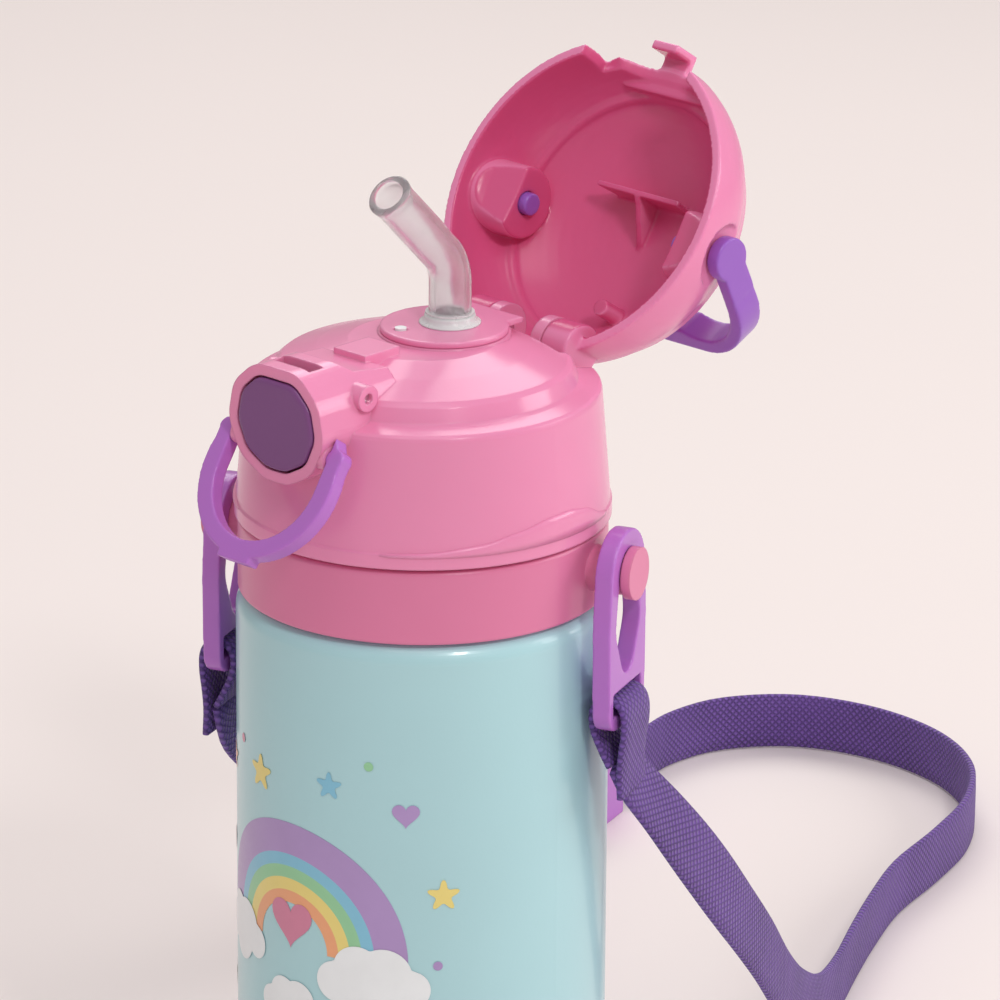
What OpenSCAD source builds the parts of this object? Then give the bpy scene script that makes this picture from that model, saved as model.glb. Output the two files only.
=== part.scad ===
// Insulated bottle for children, with a screw cap, a flip lid held open, a bent straw spout,
// a carry handle, a lock bail and a webbing strap. Front is -Y, the lid's hinge is at +Y.

/* [Body] */
// Outside diameter of the steel body
body_d = 70; // [68:0.5:72]
// Height of the shoulder that the collar ring sits on
body_h = 125; // [110:1:140]
// Thickness of the outer steel wall
shell_wall = 0.8; // [0.6:0.1:1]
// Outside diameter of the neck
neck_d = 57.6; // [57:0.1:58]
// Height of the neck above the shoulder
neck_h = 25; // [24:0.5:26]

/* [Collar ring] */
// Height of the collar ring
collar_h = 14.2; // [13:0.1:15]
// Angle of the strap studs from the X axis
stud_angle = 21; // [15:1:25]
// Diameter of a stud's head
stud_head_d = 10; // [9.6:0.1:10.4]

/* [Screw cap] */
// Height of the cap's skirt
skirt_h = 24.9; // [24:0.1:26]
// Radius of the skirt at its upper rim
rim_r = 33; // [32.6:0.1:33.4]
// Pitch of the screw thread
thread_pitch = 4; // [4:0.5:5]
// Distance of the straw's axis behind the centre
straw_y = 7; // [6:0.5:8]

/* [Flip lid] */
// Radius of the lid at its rim
lid_r = 31.6; // [31.4:0.1:31.8]
// Height of the lid's dome above the cap's rim
lid_h = 25; // [24:0.5:26]
// Wall thickness of the lid
lid_wall = 2; // [1.8:0.1:2.2]
// Angle that the lid stands open
lid_open = 123; // [100:1:123]
// Distance of the hinge axis behind the centre
hinge_y = 28; // [27.8:0.1:28.2]

/* [Handle and bail] */
// Reach of the carry handle from its pivot
handle_reach = 21.5; // [21:0.5:24]
// Lean of the carry handle towards the hinge
handle_lean = 31.5; // [20:0.5:35]
// Reach of the lock bail from its pivot
bail_reach = 19; // [18.5:0.5:20]
// Swing of the hanging bail, forward of straight down
bail_swing = 33; // [30:1:40]

/* [Strap] */
// Width of the webbing
webbing_w = 12.5; // [12:0.5:13]

/* [Hidden] */
$fn = 96;

body_r = body_d / 2;
neck_r = neck_d / 2;
neck_top = body_h + neck_h;
collar_top = body_h + collar_h;
collar_r = body_r - 0.4;
cap_gap = 0.6;
skirt_z = collar_top + cap_gap;
rim_z = skirt_z + skirt_h;
stud_z = body_h + 7.9;
hinge_z = rim_z + 2.5;
ledge_z = rim_z + 0.6;
seat_z = rim_z + 8.6;
ring_t = 1.2;
pin_play = 0.05;

// hinge layout along X
gap_x = 5;
knuckle_x = 7.5;
barrel_x = 14;
knuckle_r = 5;
notch_r = 9.2;
notch_x = 16.5;
hinge_pin_r = 1.5;

// latch boss at the front
boss_front = -38.5;
boss_r = 7;
button_face = -38.9;
button_back = -35.5;
pocket_back = -33;
spring_z = rim_z - 5.1;
catch_y = -27;
catch_z = rim_z + 5.5;
catch_pin_r = 1;

// lock bail
bail_y = -36;
bail_z = rim_z - 4;
bail_pin_r = 1.5;

// carry handle on the closed lid
handle_y = 2.2;
handle_z = rim_z + 10.8;
handle_pin_r = 2.2;
handle_in = 29.6;
handle_t = 2.8;
handle_pin_x = 18.6;
handle_w = 6.2;

// spout on the straw's axis
tube_r = 4;
tube_bore = 2.8;
tip_z = rim_z + 12.3;
bend_r = 9;
bend_angle = 45;

// strap route on the ground and in the air, from the right hook to the left hook
strap_route = [
    [37.6, 14.4, 97], [38.2, 17.6, 91], [39.3, 25, 82], [39.6, 35, 70], [37.8, 46.5, 57],
    [33, 60.5, 43], [26, 75, 29], [17, 91, 17.5], [8, 107, 9.5], [-1, 123, 6.5], [-10, 139, 6.5],
    [-18, 154, 6.5], [-26, 171, 6.5], [-32, 191, 6.5], [-39, 209, 6.5], [-51, 225, 6.5],
    [-68, 235, 6.5], [-88, 237, 6.5], [-106, 231, 6.5], [-117, 218, 6.5], [-119.5, 204, 6.5],
    [-117, 191, 6.5], [-110, 171, 6.5], [-103, 150, 6.5], [-96, 127, 8], [-88, 103, 14],
    [-79, 79, 25], [-70, 56, 39], [-61, 34, 55], [-51, 13, 71], [-43, -3, 83],
    [-38.5, -12, 91], [-37.5, -14.5, 97]
];
strap_sides = 8;
slider_at = [-108, 165, 0];

// ---------- outlines ----------

function arc(cx, cy, r, a0, a1, n = 8) =
    [for (i = [0:n]) [cx + r * cos(a0 + (a1 - a0) * i / n), cy + r * sin(a0 + (a1 - a0) * i / n)]];

// Radius of the lid's dome at height h, drawn in by t for the inner surface.
function dome_r(h, t) = (lid_r - t) * sqrt(max(0, 1 - pow(h / (lid_h - t), 3)));

function dome_line(t, from_h) =
    [for (i = [0:20]) let (h = from_h + (lid_h - t - from_h) * sin(90 * i / 20)) [dome_r(h, t), rim_z + h]];

// The front outline of the latch boss in X and Z, grown to corner radius r.
module shield(r) {
    hull() {
        for (s = [-1, 1], p = [[2.9, 4.1], [4.5, 2.7], [5, 0.2], [3.9, -2.2], [1.3, -3.6]])
            translate([s * p[0], rim_z + p[1]]) circle(r, $fn = 48);
    }
}

// An XZ outline pushed along Y from y0 to y1.
module along_y(y0, y1) {
    translate([0, y1, 0]) rotate([90, 0, 0]) linear_extrude(y1 - y0) children();
}

// A YZ outline pushed along X from x0 to x1.
module along_x(x0, x1) {
    translate([x0, 0, 0]) rotate([90, 0, 90]) linear_extrude(x1 - x0) children();
}

// A cylinder along X at y, z from x0 to x1.
module rod_x(y, z, r, x0, x1) {
    translate([x0, y, z]) rotate([0, 90, 0]) cylinder(r = r, h = x1 - x0);
}

// The same on both sides of the centre plane.
module both_x() {
    children();
    mirror([1, 0, 0]) children();
}

// Turns a part drawn on the closed lid to the open lid.
module on_open_lid() {
    translate([0, hinge_y, hinge_z]) rotate([-lid_open, 0, 0]) translate([0, -hinge_y, -hinge_z]) children();
}

// Places a part drawn around a stud that points along +X.
module at_stud(turn) {
    rotate([0, 0, stud_angle + turn]) translate([0, 0, stud_z]) children();
}

// One helical ridge from radius r0, w0 wide, out to radius r1, w1 wide, its lower start at z0.
module helix_ridge(r0, r1, z0, a0, turns, w0, w1) {
    steps = ceil(turns * 36);
    section = [[r0, -w0 / 2], [r1, -w1 / 2], [r1, w1 / 2], [r0, w0 / 2]];
    rings = [for (i = [0:steps]) let (a = a0 + 360 * turns * i / steps, z = z0 + thread_pitch * turns * i / steps)
        for (p = section) [p[0] * cos(a), p[0] * sin(a), z + p[1]]];
    sides = [for (i = [0:steps - 1]) for (k = [0:3])
        [i * 4 + k, i * 4 + (k + 1) % 4, (i + 1) * 4 + (k + 1) % 4, (i + 1) * 4 + k]];
    last = steps * 4;
    polyhedron(rings, concat([[3, 2, 1, 0]], sides, [[last, last + 1, last + 2, last + 3]]));
}

// ---------- bottle ----------

module base_pad() {
    color("dimgray") difference() {
        cylinder(r = 30.6, h = 0.8);
        translate([0, 0, -0.5]) rotate_extrude() translate([24, 0]) square([1.2, 0.9]);
    }
}

module base_plate() {
    color("silver") translate([0, 0, 0.8]) cylinder(r = 32.2, h = 0.8);
}

module outer_shell() {
    w = shell_wall;
    shoulder = 4;
    foot = 2.5;
    cr = body_r - shoulder;
    fr = body_r - foot;
    line = concat(
        [[31, 0]],
        arc(fr, foot, foot, -90, 0),
        arc(cr, body_h - shoulder, shoulder, 0, 90, 12),
        [[neck_r, body_h], [neck_r, neck_top], [neck_r - w, neck_top], [neck_r - w, body_h - w]],
        arc(cr, body_h - shoulder, shoulder - w, 90, 0, 12),
        arc(fr, foot, foot - w, 0, -90),
        [[31, w]]
    );
    color([0.70, 0.87, 0.88]) union() {
        rotate_extrude() polygon(line);
        helix_ridge(neck_r - 0.3, neck_r + 1, body_h + 17.5, 0, 1.25, 1.8, 1);
    }
}

module inner_flask() {
    t = 0.6;
    wide = 31.2;
    neck = neck_r - 1.2;
    low = 6;
    line = concat(
        [[0, low]],
        arc(wide - 4, low + 4, 4, -90, 0),
        [[wide, body_h - 9], [neck, body_h - 3], [neck, neck_top], [neck_r, neck_top], [neck_r, neck_top + t],
         [neck - t, neck_top + t], [neck - t, body_h - 3.2], [wide - t, body_h - 9.2]],
        arc(wide - 4, low + 4, 4 - t, 0, -90),
        [[0, low + t]]
    );
    color("silver") rotate_extrude() polygon(line);
}

module collar_ring() {
    edge = 1;
    line = concat(
        [[neck_r + 0.6, body_h]],
        arc(collar_r - 0.6, body_h + 0.6, 0.6, -90, 0, 4),
        arc(collar_r - edge, collar_top - edge, edge, 0, 90, 6),
        [[neck_r + 0.6, collar_top]]
    );
    color([0.85, 0.45, 0.62]) union() {
        rotate_extrude() polygon(line);
        for (turn = [0, 180]) at_stud(turn) {
            translate([collar_r - 2, 0, 0]) rotate([0, 90, 0]) cylinder(r = 4.35, h = 9.2);
            translate([41.6, 0, 0]) rotate([0, 90, 0]) cylinder(r = stud_head_d / 2, h = 1.8);
        }
    }
}

module strap_hook(turn) {
    depth = 3.6;
    color([0.70, 0.45, 0.82]) at_stud(turn) translate([37.8, 0, 0]) rotate([90, 0, 90]) difference() {
        linear_extrude(depth) hull() {
            circle(8.3, $fn = 48);
            translate([0, -10]) circle(9.2, $fn = 48);
            for (s = [-1, 1]) translate([s * 4.6, -25.4]) circle(4.2, $fn = 48);
        }
        translate([0, 0, -1]) linear_extrude(depth + 2) hull() {
            circle(4.2, $fn = 32);
            translate([0, -9.5]) circle(5.8, $fn = 48);
            translate([0, -16.4]) circle(3, $fn = 32);
        }
        translate([0, 0, -1]) cylinder(r = 4.4, h = depth + 2);
        translate([-6.8, -26.6, -1]) cube([13.6, 4.4, depth + 2]);
    }
}

module strap_hook_right() {
    strap_hook(0);
}

module strap_hook_left() {
    strap_hook(180);
}

// Elliptical rings swept along the strap's route.
module strap_webbing() {
    n = len(strap_route);
    rings = [for (i = [0:n - 1])
        let (a = strap_route[max(0, i - 1)], b = strap_route[min(n - 1, i + 1)], d = (b - a) / norm(b - a),
             side = cross(d, [0, 0, 1]) / norm(cross(d, [0, 0, 1])), up = cross(side, d))
        for (k = [0:strap_sides - 1]) let (t = 360 * (k + 0.5) / strap_sides)
            strap_route[i] + side * 2.2 * cos(t) + up * webbing_w / 2 * sin(t)];
    s = strap_sides;
    sides = [for (i = [0:n - 2]) for (k = [0:s - 1])
        [i * s + k, i * s + (k + 1) % s, (i + 1) * s + (k + 1) % s, (i + 1) * s + k]];
    color([0.40, 0.28, 0.62]) polyhedron(rings,
        concat([[for (k = [s - 1:-1:0]) k]], sides, [[for (k = [0:s - 1]) (n - 1) * s + k]]));
}

// Tri-glide buckle that stands on its edge around the strap.
module strap_slider() {
    color([0.70, 0.45, 0.82]) translate(slider_at) rotate([0, 0, -71.6]) difference() {
        translate([-9, -3.2, 0]) cube([18, 6.4, 16]);
        translate([-10, -2.6, 0.4]) cube([20, 5.2, 14.2]);
    }
}

// ---------- cap ----------

module cap_gasket() {
    color("white") translate([0, 0, neck_top + 0.6]) difference() {
        cylinder(r = 29.6, h = 1.6);
        translate([0, 0, -1]) cylinder(r = 26, h = 4);
    }
}

// The dome's line from the rim inwards, set lower by d and drawn in for the underside.
function cap_dome(d) = [
    [rim_r - 0.5, rim_z - 0.1 - d], [29.7, ledge_z - d], [28.8, rim_z + 1 - d], [27.6, rim_z + 3.6 - d],
    [26.6, rim_z + 4.4 - d], [20, rim_z + 6.6 - d], [14, seat_z - 0.3 - d], [0, seat_z - 0.3 - d]
];

module cap_skin() {
    rotate_extrude() polygon(concat(
        [[0, skirt_z], [body_r + 0.2, skirt_z], [body_r + 0.2, skirt_z + 2.6], [body_r - 0.1, skirt_z + 3]],
        [[rim_r + 0.2, rim_z - 1.2], [rim_r, rim_z - 0.5]],
        cap_dome(0)
    ));
}

module cap_inside() {
    rotate_extrude() polygon(concat(
        [[0, skirt_z - 1], [31.6, skirt_z - 1], [31.6, rim_z - 3]],
        [for (p = cap_dome(2.2)) if (p[0] < 30) [p[0] - 0.6 > 0 ? p[0] - 0.6 : 0, p[1]]]
    ));
}

module latch_boss() {
    intersection() {
        along_y(boss_front, -18) shield(boss_r);
        along_x(-14, 14) polygon([[boss_front, rim_z - 12], [boss_front - 0.3, rim_z], [boss_front + 0.3, rim_z + 12],
            [-29.6, rim_z + 12], [-26, rim_z + 9.4], [-18, rim_z + 8.6], [-18, rim_z - 12]]);
    }
    both_x() rod_x(catch_y, catch_z, 2.5, 8, 12.4);
    both_x() rod_x(bail_y, bail_z, 2.4, 8, 11.9);
}

// Room for the button, its spring, the catch and the lid's tab.
module latch_room() {
    along_y(boss_front - 2, pocket_back) shield(boss_r - 2.05);
    translate([-3.4, -36, rim_z + 1.6]) cube([6.8, 12.6, 4.8]);
    translate([-3.4, catch_y - 3, rim_z + 2.4]) cube([6.8, 5.8, 5.4]);
    translate([-3.4, pocket_back - 0.5, rim_z - 3.4]) cube([6.8, 1.6, 5.8]);
    translate([-5, -34.9, rim_z + 3]) cube([10, 3.6, 12]);
    rod_x(catch_y, catch_z, catch_pin_r, -20, 20);
    both_x() rod_x(bail_y, bail_z, bail_pin_r + pin_play, 9.5, 20);
}

module hinge_notch() {
    rod_x(hinge_y, hinge_z, notch_r, -notch_x, notch_x);
}

module cap_knuckles() {
    both_x() {
        rod_x(hinge_y, hinge_z, knuckle_r, gap_x, knuckle_x);
        translate([gap_x, hinge_y - 3.6, hinge_z - notch_r - 0.8]) cube([knuckle_x - gap_x, 6.8, notch_r + 0.8]);
    }
    translate([-gap_x, hinge_y - 3.6, hinge_z - notch_r - 0.8]) cube([2 * gap_x, 3, 6]);
}

// The hollow under the dome, which leaves a solid saddle below the hinge.
module cap_hollow() {
    difference() {
        cap_inside();
        rod_x(hinge_y, hinge_z, notch_r + 2, -notch_x - 1.6, notch_x + 1.6);
    }
}

module cap_body() {
    color([0.93, 0.55, 0.72]) difference() {
        union() {
            difference() {
                cap_skin();
                hinge_notch();
            }
            latch_boss();
            cap_knuckles();
            translate([0, 5.5, rim_z + 3]) cylinder(r = 12.4, h = seat_z - rim_z - 3);
            translate([-4, -19.5, rim_z + 4]) cube([8, 9, 6]);
        }
        cap_hollow();
        latch_room();
        translate([0, straw_y, rim_z]) cylinder(r = 4.75, h = 20);
        translate([0, straw_y, seat_z - 1.7]) cylinder(r = 7.7, h = 10);
        translate([-3.5, -2.5, rim_z]) cylinder(r = 1.2, h = 20);
        rod_x(hinge_y, hinge_z, hinge_pin_r, -knuckle_x - 1, knuckle_x + 1);
    }
}

module cap_liner() {
    inner = neck_r + 1.4;
    outer = 31.5;
    top = neck_top + 2.2;
    color([0.96, 0.80, 0.87]) union() {
        difference() {
            translate([0, 0, skirt_z + 1.5]) cylinder(r = outer, h = top + 2 - skirt_z - 1.5);
            translate([0, 0, skirt_z]) cylinder(r = inner, h = top - skirt_z);
            translate([0, straw_y, top - 1]) cylinder(r = 5, h = 10);
            translate([-3.5, -2.5, top - 1]) cylinder(r = 1.2, h = 10);
        }
        helix_ridge(neck_r + 0.35, inner + 0.3, body_h + 19.5, 0, 1, 0.9, 1.6);
    }
}

module spout_ring() {
    color([0.97, 0.66, 0.80]) difference() {
        union() {
            translate([0, 5.5, seat_z]) cylinder(r = 12, h = ring_t);
            translate([-7.4, 8, seat_z]) cube([14.8, 11, ring_t]);
        }
        translate([0, straw_y, seat_z - 1]) cylinder(r = 5, h = 5);
        translate([-3.5, -2.5, seat_z - 1]) cylinder(r = 1.2, h = 5);
    }
}

module vent_valve() {
    color("white") translate([-3.5, -2.5, 0]) {
        translate([0, 0, seat_z - 4]) cylinder(r = 1.1, h = 4 + ring_t + 0.3);
        translate([0, 0, seat_z - 4.4]) cylinder(r = 2, h = 1);
    }
}

// ---------- spout and straw ----------

module mouthpiece_base() {
    color([0.90, 0.92, 0.95]) translate([0, straw_y, 0]) difference() {
        union() {
            translate([0, 0, rim_z + 2]) cylinder(r = 4.6, h = tip_z - rim_z - 2.3);
            translate([0, 0, seat_z - 1.6]) cylinder(r = 7.5, h = 1.6);
        }
        translate([0, 0, rim_z]) cylinder(r = tube_bore, h = 20);
        translate([0, 0, rim_z]) cylinder(r = 3.65, h = 6);
    }
}

// The spout's centreline in Y and Z with its direction's lean, from the foot to the lip.
spout_rise = 5.4;
spout_run = 19;
function spout_line() = concat(
    [[0, 0, 0]],
    [for (i = [0:6]) let (a = bend_angle * i / 6)
        [bend_r * (cos(a) - 1), spout_rise + bend_r * sin(a), a]],
    [for (d = [spout_run - 1.8, spout_run - 1.4, spout_run]) let (a = bend_angle)
        [bend_r * (cos(a) - 1) - d * sin(a), spout_rise + bend_r * sin(a) + d * cos(a), a]]
);

// A bent tube with a thicker lip, as one closed skin of an outer and an inner sleeve.
module mouthpiece_tip() {
    sides = 24;
    line = spout_line();
    n = len(line);
    outer = [for (i = [0:n - 1]) i >= n - 2 ? tube_r + 0.25 : tube_r];
    rings = [for (bore = [false, true]) for (i = [0:n - 1]) let (p = line[i], r = bore ? tube_bore : outer[i])
        for (k = [0:sides - 1]) let (t = 360 * k / sides)
            [r * cos(t), p[0] + r * sin(t) * cos(p[2]), p[1] + r * sin(t) * sin(p[2])]];
    m = n * sides;
    walls = [for (i = [0:n - 2]) for (k = [0:sides - 1]) let (a = i * sides + k, b = i * sides + (k + 1) % sides)
        each [[a, a + sides, b + sides, b], [m + a, m + b, m + b + sides, m + a + sides]]];
    ends = [for (k = [0:sides - 1]) let (j = (k + 1) % sides, e = m - sides)
        each [[k, j, m + j, m + k], [e + k, m + e + k, m + e + j, e + j]]];
    color([0.92, 0.94, 0.97]) translate([0, straw_y, tip_z]) polyhedron(rings, concat(walls, ends));
}

module straw_tube() {
    color([0.88, 0.90, 0.94]) translate([0, straw_y, 9]) difference() {
        cylinder(r = 3.6, h = rim_z - 9 + 5.8);
        translate([0, 0, -1]) cylinder(r = 2.7, h = rim_z);
        translate([-1.2, -5, -1]) cube([2.4, 10, 3.5]);
    }
}

// ---------- button and latch ----------

module release_button() {
    color([0.45, 0.26, 0.45]) difference() {
        union() {
            along_y(button_face, button_back) shield(boss_r - 2.4);
            translate([-2, button_back - 0.5, rim_z - 2]) cube([4, 1.5, 1.1]);
        }
        translate([0, button_back - 1.6, spring_z]) rotate([-90, 0, 0]) cylinder(r = 2.5, h = 3);
    }
}

module button_spring() {
    coils = 4;
    wire = 0.25;
    mean = 1.9;
    y0 = button_back - 1.6 + wire;
    len_y = pocket_back - wire - y0;
    n = coils * 16;
    rings = [for (i = [0:n]) let (a = 360 * coils * i / n)
        for (k = [0:5]) let (r = mean + wire * cos(60 * k))
            [r * cos(a), y0 + len_y * i / n + wire * sin(60 * k), spring_z + r * sin(a)]];
    sides = [for (i = [0:n - 1]) for (k = [0:5]) [i * 6 + k, (i + 1) * 6 + k, (i + 1) * 6 + (k + 1) % 6, i * 6 + (k + 1) % 6]];
    color("silver") polyhedron(rings, concat([[0, 1, 2, 3, 4, 5]], sides, [[for (k = [5:-1:0]) n * 6 + k]]));
}

// A lever on the latch pin, its foot behind the button and its nose in the slot.
module latch_catch() {
    color([0.75, 0.75, 0.78]) difference() {
        union() {
            rod_x(catch_y, catch_z, 2.1, -3, 3);
            translate([-3, -34.3, rim_z + 3.6]) cube([6, 7, 1.8]);
            translate([-3, -34.3, rim_z - 2]) cube([6, 0.9, 7]);
        }
        rod_x(catch_y, catch_z, catch_pin_r + pin_play, -5, 5);
    }
}

module latch_pin() {
    color("silver") rod_x(catch_y, catch_z, catch_pin_r, -11.4, 11.4);
}

module lock_bail() {
    inner = 12.2;
    band = 3.4;
    t = 3.2;
    color([0.76, 0.47, 0.84]) translate([0, bail_y, bail_z]) rotate([-bail_swing, 0, 0]) {
        rotate([90, 0, 0]) translate([0, 0, -t / 2]) linear_extrude(t) difference() {
            union() {
                translate([0, -bail_reach + inner + 0.4]) circle(inner + band + 0.4, $fn = 96);
                for (s = [-1, 1]) translate([s * (inner + band / 2), 0]) circle(band / 2 + 0.1, $fn = 48);
                translate([-inner - band, -bail_reach + inner]) square([2 * (inner + band), bail_reach - inner]);
                translate([-4, -bail_reach - band - 0.8]) square([8, band]);
            }
            translate([0, -bail_reach + inner]) circle(inner, $fn = 96);
            translate([-inner, -bail_reach + inner]) square([2 * inner, bail_reach + 10]);
        }
        both_x() translate([9.8, 0, 0]) rotate([0, 90, 0]) cylinder(r = bail_pin_r, h = 4);
    }
}

// ---------- lid ----------

module hinge_pin_right() {
    color("silver") rod_x(hinge_y, hinge_z, hinge_pin_r, gap_x - 0.2, barrel_x - 1);
}

module hinge_pin_left() {
    color("silver") rod_x(hinge_y, hinge_z, hinge_pin_r, 1 - barrel_x, 0.2 - gap_x);
}

module lid_closed() {
    low = 0.9;
    fin_z = rim_z + 16;
    difference() {
        union() {
            difference() {
                rotate_extrude() polygon(concat([[0, rim_z + low]], dome_line(0, low)));
                rotate_extrude() polygon(concat([[0, rim_z - 1], [lid_r - lid_wall, rim_z - 1]], dome_line(lid_wall, low)));
                // room for the latch boss at the front and for the cap's knuckles at the back
                along_y(-45, -22) offset(r = 0.5, $fn = 32) shield(boss_r);
                rod_x(hinge_y, hinge_z, notch_r + 1.2, -knuckle_x - 0.3, knuckle_x + 0.3);
            }
            // panel over the boss, with the catch tab under it
            intersection() {
                translate([-10, -32, rim_z + 11.8]) cube([20, 7, 2.2]);
                rotate_extrude() polygon(concat([[0, rim_z + low]], dome_line(0, low)));
            }
            translate([-3.2, -34.2, rim_z + 11.9]) cube([6.4, 5, 1.8]);
            translate([-3.2, -34.2, rim_z + 7]) cube([6.4, 1.8, 6]);
            // barrels of the hinge with ribs up to the wall
            both_x() {
                rod_x(hinge_y, hinge_z, knuckle_r, knuckle_x + 0.2, barrel_x);
                intersection() {
                    translate([knuckle_x + 0.3, hinge_y - 3.4, hinge_z]) cube([barrel_x - knuckle_x - 0.3, 6, 5.6]);
                    rotate_extrude() polygon(concat([[0, rim_z + low]], dome_line(0, low)));
                }
            }
            // housings of the handle's snap pins, trimmed to clear the cap's dome
            both_x() difference() {
                intersection() {
                    rod_x(handle_y, handle_z, 7, 20.2, handle_in + 1);
                    rotate_extrude() polygon(concat([[0, rim_z + low]], dome_line(0.4, low)));
                }
                rotate_extrude() polygon(concat([[0, rim_z - 3], [rim_r, rim_z - 3]], cap_dome(-0.8)));
            }
            // T-shaped fin that pinches the straw
            intersection() {
                union() {
                    translate([-10.5, -7, fin_z]) cube([21, 1.1, 10]);
                    along_x(-0.6, 0.6) polygon([[-6.4, fin_z], [-5.9, fin_z], [6, rim_z + lid_h], [-6.4, rim_z + lid_h]]);
                }
                along_y(-10, 10) polygon([[-10.5, fin_z], [10.5, fin_z], [8, rim_z + lid_h], [-8, rim_z + lid_h]]);
                rotate_extrude() polygon(concat([[0, rim_z + low]], dome_line(0.8, low)));
            }
            translate([4, 17, rim_z + 14]) cylinder(r = 1.7, h = 8);
            // stiffening rib around the inside
            rotate_extrude() polygon([[24.4, rim_z + 15.2], [25, rim_z + 14.2], [28.6, rim_z + 13.6], [26, rim_z + 18.6]]);
        }
        both_x() {
            rod_x(handle_y, handle_z, handle_pin_r + pin_play, 18, 40);
            rod_x(handle_y, handle_z, 6.4, handle_in - 0.4, 40);
            // notch that lets the ends of the latch pin in
            hull() for (z = [catch_z, rim_z - 2]) rod_x(catch_y, z, 3.1, 7, 13.2);
            rod_x(hinge_y, hinge_z, hinge_pin_r + pin_play, knuckle_x, barrel_x - 0.8);
        }
    }
}

module flip_lid() {
    color([0.95, 0.58, 0.76]) on_open_lid() lid_closed();
}

module carry_handle() {
    outer = handle_in + handle_t;
    corner = 13;
    color([0.62, 0.36, 0.74]) on_open_lid() translate([0, handle_y, handle_z]) rotate([-handle_lean, 0, 0]) {
        translate([0, handle_w / 2, 0]) rotate([90, 0, 0]) linear_extrude(handle_w) difference() {
            union() {
                translate([-outer, 0]) square([2 * outer, handle_reach - corner]);
                for (s = [-1, 1]) translate([s * (outer - corner), handle_reach + 2 - corner]) circle(corner);
                translate([corner - outer, 0]) square([2 * (outer - corner), handle_reach + 2]);
            }
            translate([-handle_in, -corner]) square([2 * handle_in, handle_reach + 2]);
            for (s = [-1, 1]) translate([s * (outer - corner), handle_reach + 2 - corner])
                circle(corner - handle_t);
            translate([corner - outer, -1]) square([2 * (outer - corner), handle_reach - 0.8]);
        }
        both_x() {
            translate([handle_in, 0, 0]) rotate([0, 90, 0]) cylinder(r = 4.2, h = handle_t);
            translate([handle_pin_x, 0, 0]) rotate([0, 90, 0]) cylinder(r = handle_pin_r, h = handle_in - handle_pin_x + 1);
        }
    }
}

base_pad();
base_plate();
outer_shell();
inner_flask();
collar_ring();
strap_hook_right();
strap_hook_left();
strap_webbing();
strap_slider();
cap_gasket();
cap_body();
cap_liner();
spout_ring();
vent_valve();
mouthpiece_base();
mouthpiece_tip();
straw_tube();
release_button();
button_spring();
latch_catch();
latch_pin();
lock_bail();
hinge_pin_right();
hinge_pin_left();
flip_lid();
carry_handle();
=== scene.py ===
import math

import bpy
from mathutils import Matrix, Vector


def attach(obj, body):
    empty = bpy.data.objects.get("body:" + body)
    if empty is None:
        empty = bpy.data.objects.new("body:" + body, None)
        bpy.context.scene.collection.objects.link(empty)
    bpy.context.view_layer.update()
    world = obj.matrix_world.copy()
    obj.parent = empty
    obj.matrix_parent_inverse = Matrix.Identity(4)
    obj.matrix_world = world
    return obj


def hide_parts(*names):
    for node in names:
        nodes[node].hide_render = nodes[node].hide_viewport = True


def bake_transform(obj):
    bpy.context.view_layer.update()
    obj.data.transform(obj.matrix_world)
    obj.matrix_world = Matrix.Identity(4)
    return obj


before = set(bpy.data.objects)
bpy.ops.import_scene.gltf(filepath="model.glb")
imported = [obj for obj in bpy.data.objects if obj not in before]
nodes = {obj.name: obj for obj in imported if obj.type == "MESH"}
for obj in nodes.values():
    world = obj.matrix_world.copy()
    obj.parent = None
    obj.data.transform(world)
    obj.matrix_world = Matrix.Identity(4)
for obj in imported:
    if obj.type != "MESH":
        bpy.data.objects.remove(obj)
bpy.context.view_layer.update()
mm = 0.001
rimZ = 164.7  # upper rim of the cap's skirt
bodyRadius = 35.0
studAngle = math.radians(21)  # the strap's studs, from the X axis
print("frame loaded")


cameraFacts = {
    "azimuth": 43.5,
    "elevation": 19.0,
    "roll": 0.4,
    "lens": 252.0,
    "sensor": 36.0,
    "distance": 1.2963,
    "aim": (0, 0, rimZ * mm),
    "aimRight": -0.0765,  # where the aim point falls, as parts of the frame's width from its centre
    "aimUp": 0.1196,
    "clipNear": 0.05,
    "clipFar": 20,
}


def placeCamera(facts):
    turn, tilt, roll = (math.radians(facts[k]) for k in ("azimuth", "elevation", "roll"))
    back = Vector((math.sin(turn) * math.cos(tilt), -math.cos(turn) * math.cos(tilt), math.sin(tilt)))
    level = Vector((math.cos(turn), math.sin(turn), 0))
    rise = back.cross(level)
    right = level * math.cos(roll) + rise * math.sin(roll)
    up = rise * math.cos(roll) - level * math.sin(roll)
    width = facts["distance"] * facts["sensor"] / facts["lens"]
    data = bpy.data.cameras.new("studioCamera")
    data.lens, data.sensor_width = facts["lens"], facts["sensor"]
    data.clip_start, data.clip_end = facts["clipNear"], facts["clipFar"]
    camera = bpy.data.objects.new("studioCamera", data)
    bpy.context.scene.collection.objects.link(camera)
    place = Vector(facts["aim"]) + back * facts["distance"]
    place -= right * facts["aimRight"] * width + up * facts["aimUp"] * width
    camera.matrix_world = Matrix((
        (right.x, up.x, back.x, place.x),
        (right.y, up.y, back.y, place.y),
        (right.z, up.z, back.z, place.z),
        (0, 0, 0, 1),
    ))
    bpy.context.scene.camera = camera


bpy.context.scene.view_settings.view_transform = "Standard"  # plain colours, as the finishes state them
placeCamera(cameraFacts)
print("camera placed")


def paint(red, green, blue):
    # screen colour, 0 to 255, to the linear values that shaders take
    parts = []
    for value in (red, green, blue):
        share = value / 255
        parts.append(share / 12.92 if share <= 0.04045 else ((share + 0.055) / 1.055) ** 2.4)
    return (*parts, 1)


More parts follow.
